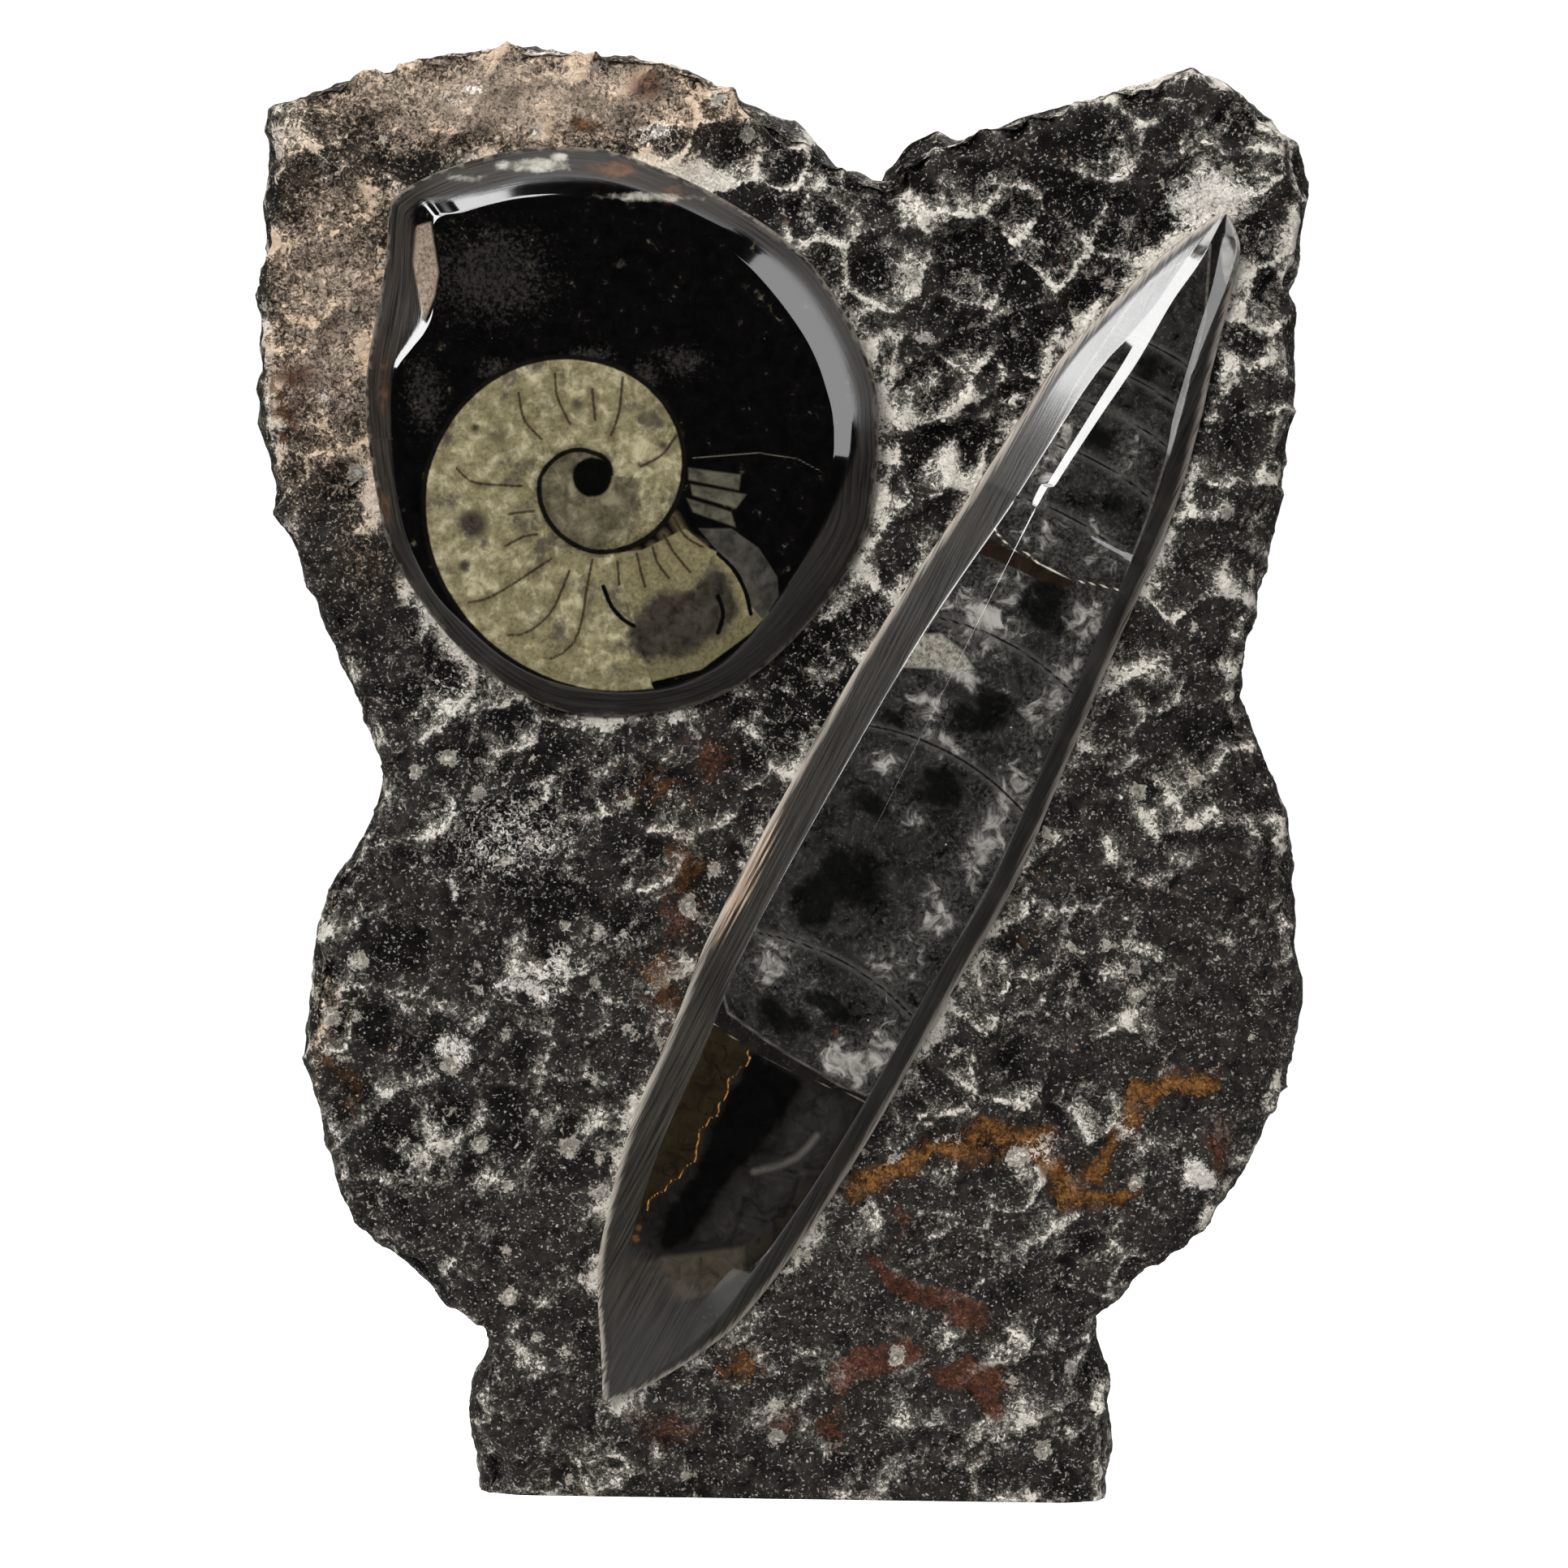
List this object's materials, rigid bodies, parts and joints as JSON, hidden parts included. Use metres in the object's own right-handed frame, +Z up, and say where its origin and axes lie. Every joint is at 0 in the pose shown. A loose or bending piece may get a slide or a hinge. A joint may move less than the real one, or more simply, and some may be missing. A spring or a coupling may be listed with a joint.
{
  "type": "orthoceras fossil display",
  "caption": "Free-standing carved slab of black fossil limestone: rough hammered front with a polished goniatite lozenge and a long polished orthoceras spindle",
  "frame": {"origin": "Under the middle of the slab, on the surface that it stands on: the bottom centre of its box", "axes": "+X to the right as the carved front is seen, +Y from the carved front to the back, +Z up"},
  "size_m": [0.2489, 0.0606, 0.3426],
  "materials": {
    "rough_limestone": "hammered, dry and rough, dark grey with whitish bruises",
    "polished_limestone": "polished black, glossy",
    "polished_calcite": "polished fossil calcite in the limestone, glossy"
  },
  "bodies": {
    "root": {"stone_slab": "rough_limestone"}
  },
  "joints": []
}
